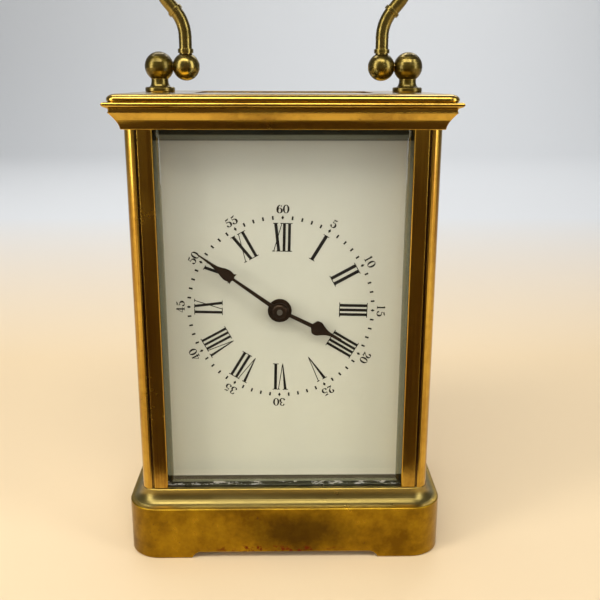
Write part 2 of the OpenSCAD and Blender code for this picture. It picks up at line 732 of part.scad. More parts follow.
module plate(y_back) {
    color(bright_brass) translate([move_x, y_back, 0]) prism_forward([
        [-plate_half_w, plinth_h], [plate_half_w, plinth_h], [plate_half_w, plates_top - 16],
        [plate_half_w - 1.5, plates_top - 13], [plate_half_w - 6, plates_top - 11.5],
        [plate_half_w - 7.5, plates_top - 10], [plate_half_w - 8, plates_top],
        [8 - plate_half_w, plates_top], [7.5 - plate_half_w, plates_top - 10],
        [6 - plate_half_w, plates_top - 11.5], [1.5 - plate_half_w, plates_top - 13],
        [-plate_half_w, plates_top - 16]
    ], plate_t);
}

module plate_holes(y_back) {
    for (p = bar_ends()) rod_y(p, 1.2, y_back + 1, y_back - plate_t - 1);
    rod_y(centre_at, 1 + fit, y_back + 1, y_back - plate_t - 1);
    rod_y(barrel_at, 2 + fit, y_back + 1, y_back - plate_t - 1);
    for (p = [second_at, third_at, contrate_at])
        rod_y(p, pivot_r + fit, y_back + 1, y_back - plate_t - 1);
}

module front_plate() {
    difference() {
        plate(front_in);
        plate_holes(front_in);
        for (p = foot_places) rod_y(p, 0.9, front_in + 1, front_y - 1);
        rod_y(motion_at, 0.7, front_in + 1, front_y - 1);
    }
}

module back_plate() {
    difference() {
        plate(back_y);
        plate_holes(back_y);
        rod_y(click_at, 0.7, back_y + 1, back_in - 1);
        rod_y(spring_foot, 0.7, back_y + 1, back_in - 1);
    }
}

module bar(x, z) {
    difference() {
        translate([move_x + x, front_in, z]) cube([bar_side, back_in - front_in, bar_side]);
        for (y = [front_in + 5, back_in + 1])
            translate([move_x + x + bar_side / 2, y, z + bar_side / 2]) rotate([90, 0, 0])
                cylinder(r = 1, h = 6);
    }
}

module lower_bars() {
    color(bright_brass) difference() {
        for (x = [lower_bar_x, -plate_half_w]) bar(x, plinth_h);
        movement_screw_places() translate([0, 0, plinth_h - 1]) cylinder(r = 1.2, h = 4.5);
    }
}

module upper_bars() {
    color(bright_brass) difference() {
        for (x = [upper_bar_x, -upper_bar_x - bar_side]) bar(x, plates_top - bar_side);
        platform_screw_places() translate([0, 0, -4]) cylinder(r = 0.8, h = 5);
    }
}

module plate_screws() {
    color(steel) {
        for (p = bar_ends()) {
            at_arbor(p, front_y) rotate(p[0] * 7) screw(1, plate_t + 4, 1.9, 1.1);
            at_arbor(p, back_y) rotate([180, 0, 0]) rotate(p[0] * 11)
                screw(1, plate_t + 4, 1.9, 1.1);
        }
        at_arbor(click_at, click_y + 0.2) rotate([180, 0, 0]) click_screw(0.9);
        at_arbor(spring_foot, click_y - 0.5) rotate([180, 0, 0]) click_screw(0.7);
    }
}

// Shouldered screw that holds the click or its spring to the back plate
module click_screw(shoulder_r) {
    translate([0, 0, -1.6]) screw(0.7, 1.6, shoulder_r, 0.1);
    screw(shoulder_r, 1.6 - eps, 1.7, 0.8);
}

module movement_screw_places() {
    for (sx = [-1, 1], y = [-8, 4])
        translate([move_x + sx * (lower_bar_x + bar_side / 2), y, 0]) children();
}

module movement_screws() {
    color(steel) movement_screw_places() translate([0, 0, web_z]) mirror([0, 0, 1])
        screw(1.2, plinth_h - web_z + 3, 1.7, 1.4);
}

// ---------------------------------------------------------------- barrel and clickwork

barrel_back = 8.4;                   // rear face of the great wheel
great_wheel_t = 1.8;
drum_r = 14.2;
drum_wall = 0.9;
drum_front = -11.4;
arbor_hub_r = 3.2;

module barrel_drum() {
    drum_len = barrel_back - drum_front;
    color(bright_brass) at_arbor(barrel_at, barrel_back) difference() {
        union() {
            rotate(barrel_angle) wheel_teeth(great_teeth, great_m, great_wheel_t);
            cylinder(r = drum_r, h = drum_len);
        }
        translate([0, 0, great_wheel_t]) cylinder(r = drum_r - drum_wall, h = drum_len);
        translate([0, 0, -1]) cylinder(r = 2 + fit, h = 4);
    }
}

module barrel_cover() {
    color(bright_brass) at_arbor(barrel_at, drum_front + 1.1) difference() {
        cylinder(r = drum_r - drum_wall, h = 1.1);
        translate([0, 0, -1]) cylinder(r = 2 + fit, h = 4);
    }
}

// Flat spiral strip: inner radius, outer radius, turns, thickness and steps a turn
function spiral(r0, r1, turns, t, steps) = concat(
    [for (i = [0 : turns * steps]) let (r = r0 + (r1 - r0) * i / (turns * steps), a = 360 / steps * i)
        r * [cos(a), sin(a)]],
    [for (i = [turns * steps : -1 : 0])
        let (r = r0 + (r1 - r0) * i / (turns * steps) + t, a = 360 / steps * i)
            r * [cos(a), sin(a)]]
);

module mainspring() {
    color(steel) at_arbor(barrel_at, barrel_back - great_wheel_t - 0.3)
        linear_extrude(barrel_back - drum_front - great_wheel_t - 1.7)
            polygon(spiral(5, drum_r - drum_wall - 0.75, 6, 0.5, 20));
}

module barrel_arbor() {
    color(steel) union() {
        rod_y(barrel_at, 2, back_y, front_y + 0.2);
        rod_y(barrel_at, arbor_hub_r, barrel_back - great_wheel_t - 0.1, drum_front + 1.2);
        square_y(barrel_at, 2.8, back_y + 8.2, back_y - eps);
    }
}

// Saw-toothed outline: a steep face just before each tip, then a long slope
function ratchet_points(teeth, r, depth) = [
    for (i = [0 : teeth - 1]) each [
        (r - depth) * [cos(360 / teeth * (i - 0.08)), sin(360 / teeth * (i - 0.08))],
        r * [cos(360 / teeth * i), sin(360 / teeth * i)]
    ]
];

// The click's nose stands over a gap, 0.3 of a tooth before a tip
module ratchet_wheel() {
    color(steel) at_arbor(barrel_at, click_y) difference() {
        rotate(nose_angle + 0.3 * 360 / ratchet_teeth) linear_extrude(1.4)
            polygon(ratchet_points(ratchet_teeth, ratchet_r, 1.1));
        translate([-1.4, -1.4, -1]) cube([2.8, 2.8, 4]);
    }
}

// A point at a radius and an angle from the ratchet's centre, measured from the click's pivot
function from_click(r, a) = barrel_at + r * [cos(a), sin(a)] - click_at;

module click() {
    color(steel) at_arbor(click_at, click_y) difference() {
        union() {
            linear_extrude(1.4) polygon([
                from_click(ratchet_r + 0.1, nose_angle), from_click(ratchet_r + 0.1, nose_angle + 2),
                from_click(ratchet_r + 1.3, nose_angle), from_click(ratchet_r + 2.9, 60),
                [0.5, 1.8], [-1, -1.5], from_click(ratchet_r + 0.9, 50),
                from_click(ratchet_r + 0.8, nose_angle - 6)
            ]);
            cylinder(r = 1.9, h = 1.4);
        }
        translate([0, 0, -1]) cylinder(r = 0.9 + fit, h = 4);
    }
}

module click_spring() {
    color(steel) at_arbor(spring_foot, click_y - 0.5) difference() {
        linear_extrude(0.9) polygon(concat(
            [for (a = [-70 : 20 : 210]) 1.7 * [cos(a), sin(a)]],
            [[-3.9, -3.4], [-6.5, -5.3], [-6.2, -5.8], [-3.2, -4.1]]
        ));
        translate([0, 0, -1]) cylinder(r = 0.7, h = 3);
    }
}

// ---------------------------------------------------------------- wheel train

// Arbor between the plates with a pivot at each end
module train_arbor(place, r) {
    rod_y(place, r, back_in - 0.2, front_in + 0.2);
    rod_y(place, pivot_r, back_y - 0.2, front_y + 0.2);
}

module spoked_wheel(place, teeth, m, t, y_back, angle, hub_r, spoke_w, count) {
    rim_r = m * (teeth / 2 - 1.25) - 1;
    at_arbor(place, y_back) rotate(angle) difference() {
        wheel_teeth(teeth, m, t);
        translate([0, 0, -1]) spokes(count, hub_r, rim_r, spoke_w, t + 2);
    }
}

module second_wheel() {
    color(bright_brass) union() {
        train_arbor(second_at, 0.9);
        spoked_wheel(second_at, second_teeth, second_m, 1.1, -12.4, second_angle, 3, 1.4, 4);
        at_arbor(second_at, 9.2) rotate(second_angle) pinion_leaves(leaves, great_m, 3.2);
    }
}

module centre_wheel() {
    color(bright_brass) difference() {
        union() {
            rod_y(centre_at, 1.55, -7.5, front_in + 0.3);
            spoked_wheel(centre_at, centre_teeth, centre_m, 1, -8.3, centre_angle, 2.6, 1.2, 4);
            at_arbor(centre_at, -12) rotate(centre_angle) pinion_leaves(leaves, second_m, 2);
        }
        rod_y(centre_at, 1 + fit, 0, -20);
    }
}

module centre_arbor() {
    color(steel) union() {
        rod_y(centre_at, 1, back_y + 0.4, front_y - 0.2);
        rod_y(centre_at, 0.7, 0, dial_y - 3.7);
        square_y(centre_at, 1.7, back_y + 5, back_y);
    }
}

module third_wheel() {
    color(bright_brass) union() {
        train_arbor(third_at, 0.7);
        spoked_wheel(third_at, third_teeth, third_m, 0.9, 3, third_angle, 2.2, 1, 4);
        at_arbor(third_at, -7.6) rotate(third_angle) pinion_leaves(fine_leaves, centre_m, 2.4);
    }
}

// Crown wheel whose teeth stand forwards from its rim
module contrate_wheel() {
    half_rim = 0.45;
    tooth_half = 360 / contrate_teeth * 0.13;
    color(bright_brass) union() {
        train_arbor(contrate_at, 0.7);
        at_arbor(contrate_at, 4) rotate(contrate_angle)
            pinion_leaves(fine_leaves, third_m, 2);
        at_arbor(contrate_at, crown_y + 2.2) difference() {
            cylinder(r = contrate_r + half_rim, h = 2.2);
            translate([0, 0, 0.8]) cylinder(r = contrate_r - half_rim, h = 3);
            translate([0, 0, -1]) rotate(45) spokes(4, 2.2, contrate_r - half_rim - 0.6, 1, 3);
        }
        at_arbor(contrate_at, crown_y + eps) for (i = [0 : contrate_teeth - 1])
            rotate(contrate_angle + 360 / contrate_teeth * i) linear_extrude(crown_h) polygon([
                for (q = [[-1, -1], [1, -1], [1, 1], [-1, 1]])
                    let (r = contrate_r + q[0] * (half_rim - 0.02), a = q[1] * tooth_half)
                        r * [cos(a), sin(a)]
            ]);
    }
}

// ---------------------------------------------------------------- platform escapement

module platform_screw_places() {
    for (sx = [-1, 1], y = [front_in + 8, back_in - 8])
        translate([move_x + sx * (upper_bar_x + bar_side / 2), y, plates_top]) children();
}

module platform_plate() {
    color(bright_brass) difference() {
        translate([move_x - platform_half_w, front_y, plates_top])
            cube([2 * platform_half_w, back_y - front_y, platform_z - plates_top]);
        platform_screw_places() translate([0, 0, -1]) cylinder(r = 0.8, h = 4);
        at_plan(escape_at, plates_top - 1) cylinder(r = 1.6, h = 4);
        for (p = [lever_at, balance_at]) at_plan(p, plates_top - 1) cylinder(r = 0.35 + fit, h = 4);
        for (p = [cock_foot, escape_foot, potence_foot]) at_plan(p, plates_top - 1)
            cylinder(r = 0.7, h = 4);
    }
}

// Lower pivot z of the escape arbor, and the potence that carries it
potence_z = arbor_z + contrate_at[1] + contrate_r - 3.2;
potence_foot = [0, escape_at[1] - 3.6];

module escape_cocks() {
    color(bright_brass) {
        difference() {
            union() {
                at_plan(escape_foot, platform_z) cylinder(r = 2.2, h = 4);
                at_plan(escape_foot, escape_cock_z) rotate(line_angle) translate([0, -1.6, 0])
                    cube([11.7, 3.2, 1.2]);
                at_plan(lever_at, escape_cock_z) cylinder(r = 1.6, h = 1.2);
            }
            at_plan(escape_foot, platform_z - 1) cylinder(r = 0.7, h = 6);
            for (p = [escape_at, lever_at]) {
                at_plan(p, escape_cock_z - 1) cylinder(r = 0.35 + fit, h = 4);
                at_plan(p, escape_cock_z + 0.8) cylinder(r = 0.9, h = 1);
            }
        }
        difference() {
            union() {
                at_plan(potence_foot, 0) translate([-1.8, -1.6, potence_z - 0.7])
                    cube([3.6, 2.2, plates_top - potence_z + 0.7]);
                at_plan(potence_foot, 0) translate([-1.3, 0, potence_z - 0.7]) cube([2.6, 4.4, 1.3]);
            }
            at_plan(escape_at, potence_z - 2) cylinder(r = 0.35 + fit, h = 4);
            at_plan(potence_foot, plates_top - 2.5) cylinder(r = 0.7, h = 4);
        }
    }
}

module escape_wheel() {
    wheel_r = 3.4;
    pinion_m = 2 * escape_pinion_r / escape_leaves;
    color(bright_brass) {
        at_plan(escape_at, potence_z - 0.5) cylinder(r = 0.35, h = escape_cock_z - potence_z + 1.2);
        at_plan(escape_at, potence_z + 0.8) cylinder(r = 0.5, h = escape_cock_z - potence_z - 1);
        at_plan(escape_at, potence_z + 1) rotate(90 + 180 / escape_leaves)
            pinion_leaves(escape_leaves, pinion_m, 3.4);
        at_plan(escape_at, escape_wheel_z) difference() {
            linear_extrude(0.6) polygon([
                for (i = [0 : 14]) each [
                    2.6 * [cos(24 * i), sin(24 * i)], wheel_r * [cos(24 * i + 7), sin(24 * i + 7)],
                    3.25 * [cos(24 * i + 11), sin(24 * i + 11)], 2.6 * [cos(24 * i + 7), sin(24 * i + 7)]
                ]
            ]);
            translate([0, 0, -1]) spokes(4, 0.9, 2.1, 0.5, 3);
        }
    }
}

module pallet_lever() {
    color(steel) at_plan(lever_at, 0) rotate(line_angle) {
        translate([0, 0, platform_z - 1.2]) cylinder(r = 0.35, h = escape_cock_z - platform_z + 1.9);
        translate([0, 0, escape_wheel_z]) linear_extrude(0.6) {
            circle(r = 0.9);
            translate([0, -0.35]) square([4.5, 0.7]);
            polygon([[4.2, -0.9], [5.15, -0.9], [5.15, -0.35], [4.7, -0.3], [4.7, 0.3], [5.15, 0.35],
                     [5.15, 0.9], [4.2, 0.9]]);
            for (side = [-1, 1])
                polygon([[0.3, side * 0.4], [-0.2, side * 0.2], [-1.85, side * 2],
                         [-1.55, side * 2.5], [-0.9, side * 2.4]]);
        }
    }
}

module balance_wheel() {
    balance_r = 6.5;
    color(bright_brass) at_plan(balance_at, 0) {
        translate([0, 0, platform_z - 1.2]) cylinder(r = 0.35, h = balance_cock_z - platform_z + 2);
        translate([0, 0, platform_z + 0.6]) cylinder(r = 0.6, h = balance_cock_z - platform_z - 0.8);
        translate([0, 0, escape_wheel_z + 0.9]) cylinder(r = 1.5, h = 0.6);
        rotate(line_angle) translate([1.15, 0, escape_wheel_z]) cylinder(r = 0.2, h = 1);
        translate([0, 0, balance_z]) difference() {
            cylinder(r = balance_r, h = 1);
            translate([0, 0, -1]) spokes(2, 1.6, balance_r - 0.9, 1, 3);
        }
    }
}

module hairspring() {
    color(steel) at_plan(balance_at, hairspring_z) linear_extrude(0.35)
        polygon(spiral(0.75, 2.9, 7, 0.09, 18));
}

module balance_cock() {
    cock_angle = heading(balance_at, cock_foot);
    span = norm(cock_foot - balance_at);
    color(bright_brass) difference() {
        union() {
            at_plan(cock_foot, platform_z) cylinder(r = 2, h = balance_cock_z - platform_z + 1.4);
            at_plan(balance_at, balance_cock_z) rotate(cock_angle) {
                translate([0, -1.6, 0]) cube([span, 3.2, 1.4]);
                cylinder(r = 2.3, h = 1.4);
                translate([0, 0, 1.4 - eps]) cylinder(r = 1.4, h = 0.5);
            }
            at_plan(balance_at, hairspring_z - 0.2) rotate(cock_angle) translate([3.05, -0.4, 0])
                cube([0.7, 0.8, balance_cock_z - hairspring_z + 0.2 + eps]);
        }
        at_plan(cock_foot, platform_z - 1) cylinder(r = 0.7, h = 12);
        at_plan(balance_at, balance_cock_z - 1) cylinder(r = 0.35 + fit, h = 4);
        at_plan(balance_at, balance_cock_z + 1.5) cylinder(r = 0.9, h = 1);
    }
}

module regulator_index() {
    color(steel) at_plan(balance_at, balance_cock_z + 1.4) rotate(heading(balance_at, cock_foot))
        difference() {
            union() {
                cylinder(r = 2.1, h = 0.4);
                linear_extrude(0.4) polygon([[1, -0.6], [6.2, -0.15], [6.2, 0.15], [1, 0.6]]);
                translate([-3.4, -0.4, 0]) cube([2, 0.8, 0.4]);
                translate([-3.3, 0, hairspring_z - balance_cock_z - 1.3])
                    cylinder(r = 0.15, h = balance_cock_z - hairspring_z + 1.4);
            }
            translate([0, 0, -1]) cylinder(r = 1.4 + fit, h = 3);
        }
}

module jewels() {
    color(ruby) {
        for (p = [escape_at, lever_at]) at_plan(p, escape_cock_z + 0.8) difference() {
            cylinder(r = 0.9, h = 0.4);
            translate([0, 0, -1]) cylinder(r = 0.35 + fit, h = 3);
        }
        at_plan(balance_at, balance_cock_z + 1.5) difference() {
            cylinder(r = 0.9, h = 0.4);
            translate([0, 0, -1]) cylinder(r = 0.35 + fit, h = 3);
        }
    }
}

module escapement_screws() {
    color(steel) {
        platform_screw_places() translate([0, 0, platform_z - plates_top]) screw(0.8, 5, 1.5, 0.9);
        at_plan(cock_foot, balance_cock_z + 1.4) screw(0.7, balance_cock_z - platform_z + 2.4, 1.3, 0.7);
        at_plan(escape_foot, platform_z + 4) screw(0.7, 5, 1.3, 0.7);
        at_plan(potence_foot, platform_z) screw(0.7, 3.6, 1.3, 0.7);
    }
}

// ---------------------------------------------------------------- assembly

base_frame();
bottom_cover();
pillar_front_left();
pillar_front_right();
pillar_rear_left();
pillar_rear_right();
cornice();
top_plate();
top_glass();
top_glass_frame();
front_glass();
side_glass_left();
side_glass_right();
door_frame();
door_glass();
door_knob();
door_pins();
handle_post_left();
handle_post_right();
handle();
handle_pins();
case_screws();
cover_screws();
dial_plate();
dial_feet();
hour_hand();
minute_hand();
hand_collet();
hour_wheel();
minute_wheel();
cannon_pinion();
minute_wheel_stud();
front_plate();
back_plate();
lower_bars();
upper_bars();
plate_screws();
movement_screws();
barrel_drum();
barrel_cover();
mainspring();
barrel_arbor();
ratchet_wheel();
click();
click_spring();
second_wheel();
centre_wheel();
centre_arbor();
third_wheel();
contrate_wheel();
platform_plate();
escape_wheel();
pallet_lever();
escape_cocks();
balance_wheel();
hairspring();
balance_cock();
regulator_index();
jewels();
escapement_screws();
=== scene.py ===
import bpy
import json
import math
from mathutils import Matrix, Vector


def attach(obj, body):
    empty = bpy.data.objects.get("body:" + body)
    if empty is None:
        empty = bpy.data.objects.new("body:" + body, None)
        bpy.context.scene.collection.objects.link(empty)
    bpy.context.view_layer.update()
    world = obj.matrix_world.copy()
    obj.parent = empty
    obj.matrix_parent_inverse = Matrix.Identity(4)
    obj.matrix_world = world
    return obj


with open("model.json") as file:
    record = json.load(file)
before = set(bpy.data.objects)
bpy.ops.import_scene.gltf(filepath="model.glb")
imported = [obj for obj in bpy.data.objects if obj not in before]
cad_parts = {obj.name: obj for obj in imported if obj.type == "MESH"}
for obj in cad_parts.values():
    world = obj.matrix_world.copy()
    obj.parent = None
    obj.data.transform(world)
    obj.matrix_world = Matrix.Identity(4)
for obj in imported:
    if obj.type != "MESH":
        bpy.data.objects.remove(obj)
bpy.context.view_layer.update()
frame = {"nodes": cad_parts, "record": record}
nodes = frame["nodes"]
record = frame["record"]
MM = 0.001

# Places on the case in millimetres, from its middle and from the table
PILLAR_FACES = (36.7, 30.7)     # the pillars' outer faces, to the side and to the front or back
GROOVE_IN = 2.92                # from a pillar's outer face to the middle of its groove
PLINTH_FRONT = -34.4
CAVETTO_FOOT = 14.0
PLINTH_TOP = 18.0
GLASS_FRONT = -29.9
DIAL_FACE = -23.0
DIAL_SHADE = 105.3              # the dial lies in the cornice's shade above this height


# ------------------------------------------------------------------ materials

GOLD = (0.64, 0.41, 0.06)
BROWN = (0.20, 0.095, 0.005)


class Shader:
    """Builds one material's nodes. Coordinates are the object's own, so patterns ride with the part."""

    def __init__(self, name):
        self.material = bpy.data.materials.new(name)
        self.material.use_nodes = True
        self.tree = self.material.node_tree
        self.bsdf = self.tree.nodes["Principled BSDF"]
        self.coords = self.add("ShaderNodeTexCoord").outputs["Object"]

    def add(self, kind, **values):
        node = self.tree.nodes.new(kind)
        for key, value in values.items():
            setattr(node, key, value)
        return node

    def link(self, output, socket):
        self.tree.links.new(output, socket)

    def use(self, output, socket_name):
        self.link(output, self.bsdf.inputs[socket_name])

    def set(self, **values):
        for key, value in values.items():
            self.bsdf.inputs[key.replace("_", " ")].default_value = value

    def split(self, vector):
        """The x, y and z of a vector."""
        node = self.add("ShaderNodeSeparateXYZ")
        self.link(vector, node.inputs["Vector"])
        return node.outputs["X"], node.outputs["Y"], node.outputs["Z"]

    def stretched(self, scale):
        node = self.add("ShaderNodeMapping")
        node.inputs["Scale"].default_value = scale
        self.link(self.coords, node.inputs["Vector"])
        return node.outputs["Vector"]

    def noise(self, scale, detail=3, rough=0.55, coords=None, offset=0.0):
        node = self.add("ShaderNodeTexNoise", noise_dimensions="4D")
        node.inputs["Scale"].default_value = scale
        node.inputs["Detail"].default_value = detail
        node.inputs["Roughness"].default_value = rough
        node.inputs["W"].default_value = offset
        self.link(coords or self.coords, node.inputs["Vector"])
        return node.outputs["Fac"]

    def spread(self, value, low, high, to_low=0.0, to_high=1.0):
        node = self.add("ShaderNodeMapRange", clamp=True)
        self.link(value, node.inputs["Value"])
        for key, number in (("From Min", low), ("From Max", high), ("To Min", to_low), ("To Max", to_high)):
            node.inputs[key].default_value = number
        return node.outputs["Result"]

    def spread_mm(self, value, low, high, to_high=1.0):
        """The same between two places in millimetres."""
        return self.spread(value, low * MM, high * MM, 0.0, to_high)

    def calc(self, operation, a, b=0):
        node = self.add("ShaderNodeMath", operation=operation)
        for socket, value in zip(node.inputs, (a, b)):
            if isinstance(value, (int, float)):
                socket.default_value = value
            else:
                self.link(value, socket)
        return node.outputs["Value"]

    def times(self, a, b):
        return self.calc("MULTIPLY", a, b)

    def mix(self, factor, a, b):
        node = self.add("ShaderNodeMix", data_type="RGBA")
        self.link(factor, node.inputs["Factor"])
        colours = [socket for socket in node.inputs if socket.type == "RGBA"]
        for socket, value in zip(colours, (a, b)):
            if isinstance(value, tuple):
                socket.default_value = (*value, 1)
            else:
                self.link(value, socket)
        return next(socket for socket in node.outputs if socket.type == "RGBA")

    def soft_edges(self, radius):
        node = self.add("ShaderNodeBevel", samples=4)
        node.inputs["Radius"].default_value = radius * MM
        return node.outputs["Normal"]

    def worn(self, radius):
        """1 along outer and inner edges, 0 on the flats between them."""
        dot = self.add("ShaderNodeVectorMath", operation="DOT_PRODUCT")
        self.link(self.soft_edges(radius), dot.inputs[0])
        self.link(self.add("ShaderNodeNewGeometry").outputs["Normal"], dot.inputs[1])
        return self.spread(dot.outputs["Value"], 0.995, 0.86)

    def bump(self, height, strength, distance, edge=None):
        """A bumped normal, over edges softened to a radius in millimetres where one is given."""
        node = self.add("ShaderNodeBump")
        node.inputs["Strength"].default_value = strength
        node.inputs["Distance"].default_value = distance * MM
        self.link(height, node.inputs["Height"])
        if edge is not None:
            self.link(self.soft_edges(edge), node.inputs["Normal"])
        return node.outputs["Normal"]


def aged_shader(name, bright, tarnish, patches, rough, offset, edge):
    """Old polished brass: bright where it is rubbed, brown and duller in patches, with small dark spots.
    Gives the shader and its colour, so that more can be laid over it."""
    metal = Shader(name)
    broad = metal.noise(55, 4, 0.6, offset=offset)
    mottle = metal.noise(420, 5, 0.65, offset=offset + 3)
    mask = metal.spread(metal.calc("ADD", metal.times(broad, 0.65), metal.times(mottle, 0.35)), *patches)
    rubbed = metal.calc("SUBTRACT", mask, metal.worn(0.45))
    colour = metal.mix(metal.spread(rubbed, 0, 1), bright, tarnish)
    spots = metal.spread(metal.noise(950, 2, 0.5, offset=offset + 7), 0.70, 0.76, 0, 0.65)
    colour = metal.mix(spots, colour, (0.10, 0.045, 0.015))
    metal.use(colour, "Base Color")
    metal.use(metal.spread(mask, 0, 1, *rough), "Roughness")
    metal.set(Metallic=1.0, Coat_Weight=0.2, Coat_Roughness=0.12)
    metal.use(metal.bump(metal.noise(1600, 4, 0.6, offset=offset + 11), 0.10, 0.05, edge), "Normal")
    return metal, colour


def aged_brass(name, bright, tarnish, patches=(0.42, 0.72), rough=(0.12, 0.34), offset=0.0):
    return aged_shader(name, bright, tarnish, patches, rough, offset, 0.14)[0].material


def pillar_brass():
    """Brass with streaks along its length where it has been rubbed, and painted shade in its grooves."""
    metal, colour = aged_shader("pillar_brass", GOLD, (0.32, 0.165, 0.012),
                                (0.40, 0.70), (0.12, 0.34), 5, 0.12)
    streaks = metal.spread(metal.noise(900, 3, 0.6, metal.stretched((1, 1, 0.02)), 41), 0.42, 0.62)
    wander = metal.spread(metal.noise(120, 3, 0.6, metal.stretched((1, 1, 0.25)), 43), 0.35, 0.65)
    colour = metal.mix(metal.times(metal.times(streaks, wander), 0.8), colour, (0.25, 0.10, 0.008))
    # Painted shade: the grooves down the pillars' faces are darkened where shadow gathers in them.
    x, y = (metal.calc("ABSOLUTE", place) for place in metal.split(metal.coords)[:2])
    side, front = PILLAR_FACES
    groove_shade = []
    for along, across, end, face in ((x, y, side, front), (y, x, front, side)):
        off = metal.calc("ABSOLUTE", metal.calc("SUBTRACT", along, (end - GROOVE_IN) * MM))
        on_face = metal.spread_mm(across, face - 0.6, face - 0.5)
        groove_shade.append(metal.times(metal.spread_mm(off, 0.36, 0.24), on_face))
    metal.use(metal.mix(metal.calc("MAXIMUM", *groove_shade), colour, (0.15, 0.085, 0.02)), "Base Color")
    return metal.material


def plinth_brass():
    """The plinth's brass: a dull olive cavetto, a painted dark reflection on the middle of the front,
    rust-red spots over the arch and painted shade on its top behind the front glass."""
    metal, colour = aged_shader("plinth_brass", (0.47, 0.28, 0.012), (0.17, 0.085, 0.003),
                                (0.30, 0.60), (0.20, 0.42), 8, 0.22)
    metal.set(Coat_Weight=0.05)
    x, y, z = metal.split(metal.coords)
    ragged = metal.times(metal.noise(260, 4, 0.6, offset=31), 0.9)

    def patch(middle_x, middle_z, reach_x, reach_z):
        """A ragged distance from the middle of a patch, near 1 at its rim."""
        u = metal.times(metal.calc("SUBTRACT", x, middle_x * MM), 1 / (reach_x * MM))
        v = metal.times(metal.calc("SUBTRACT", z, middle_z * MM), 1 / (reach_z * MM))
        square = metal.calc("ADD", metal.times(u, u), metal.times(v, v))
        return metal.calc("ADD", metal.calc("POWER", square, 0.5), ragged)

    front = metal.spread_mm(y, PLINTH_FRONT + 0.9, PLINTH_FRONT + 0.2)
    unworn = metal.spread(metal.worn(0.35), 0.75, 0.25)
    hollow = metal.times(metal.spread_mm(z, CAVETTO_FOOT, CAVETTO_FOOT + 0.3), unworn)
    # Painted reflection: a ragged dark patch on the middle of the front, where it mirrors the dark room in
    # front of the clock.
    dark_reflection = metal.spread(patch(4, 7.5, 17, 7), 1.45, 0.80, 0, 0.78)
    rust_spots = metal.spread(metal.noise(620, 3, 0.6, offset=33), 0.52, 0.60)
    rust = metal.times(metal.spread(patch(-2, 2.6, 17, 1.1), 1.5, 1.1), rust_spots)
    # Painted shade: the plinth's top between the front glass and the dial is darkened where shadow falls in
    # that narrow gap.
    behind_glass = metal.spread_mm(y, GLASS_FRONT - 0.3, GLASS_FRONT + 0.1)
    recess_shade = metal.times(metal.spread_mm(z, PLINTH_TOP - 0.6, PLINTH_TOP - 0.2), behind_glass)
    for layer, paint in (
        (metal.times(hollow, 0.85), (0.30, 0.235, 0.075)),
        (metal.times(front, dark_reflection), (0.055, 0.027, 0.002)),
        (metal.times(front, rust), (0.16, 0.028, 0.004)),
        (metal.times(recess_shade, 0.9), (0.030, 0.024, 0.014)),
    ):
        colour = metal.mix(layer, colour, paint)
    metal.use(colour, "Base Color")
    return metal.material


def grained_metal(name, light, dark, rough, scale):
    """Machined metal with a straight grain and faint staining."""
    metal = Shader(name)
    grain = metal.noise(300, 3, 0.6, metal.stretched(scale))
    stain = metal.spread(metal.noise(130, 4, 0.6, offset=5), 0.35, 0.75)
    metal.use(metal.mix(stain, light, dark), "Base Color")
    metal.use(metal.spread(grain, 0.2, 0.8, *rough), "Roughness")
    metal.set(Metallic=1.0)
    metal.use(metal.bump(grain, 0.15, 0.02, 0.08), "Normal")
    return metal.material


def clear_glass(name, tint, bevel_shade_tint):
    """Old plate glass with faint smears, with painted shade through its ground bevels and a painted
    highlight of white flecks along their foot.
    """
    glass = Shader(name)
    facing = glass.split(glass.add("ShaderNodeTexCoord").outputs["Normal"])
    x, y, z = (glass.calc("ABSOLUTE", way) for way in facing)
    # Painted shade: the ground bevels are tinted dark for the shaded gaps that show through them.
    bevel = glass.spread(glass.calc("MAXIMUM", glass.calc("MAXIMUM", x, y), z), 0.975, 0.95)
    height = glass.split(glass.coords)[2]
    foot = glass.times(bevel, glass.spread_mm(height, PLINTH_TOP + 1.6, PLINTH_TOP + 1.2))
    ragged = glass.noise(330, 5, 0.7, glass.stretched((1, 1, 2.5)), 9)
    # Painted highlight: ragged white flecks along the foot of the bevels, less clear than the rest of the
    # glass.
    painted_glints = glass.times(foot, glass.spread(ragged, 0.50, 0.56))
    glass.use(glass.mix(painted_glints, glass.mix(bevel, tint, bevel_shade_tint), (0.80, 0.80, 0.76)), "Base Color")
    glass.use(glass.spread(painted_glints, 0, 1, 1, 0.25), "Transmission Weight")
    glass.use(glass.spread(glass.noise(70, 4, 0.6, offset=2), 0.45, 0.8, 0.0, 0.035), "Roughness")
    glass.set(IOR=1.5)
    let_light_through(glass, tint)
    return glass.material


def let_light_through(glass, tint):
    """Makes the glass plain and clear to shadow rays, so that what stands behind it is lit."""
    through = glass.add("ShaderNodeBsdfTransparent")
    through.inputs["Color"].default_value = (*[c ** 0.5 for c in tint], 1)
    choice = glass.add("ShaderNodeMixShader")
    glass.link(glass.add("ShaderNodeLightPath").outputs["Is Shadow Ray"], choice.inputs[0])
    glass.link(glass.bsdf.outputs["BSDF"], choice.inputs[1])
    glass.link(through.outputs["BSDF"], choice.inputs[2])
    glass.link(choice.outputs["Shader"], glass.tree.nodes["Material Output"].inputs["Surface"])


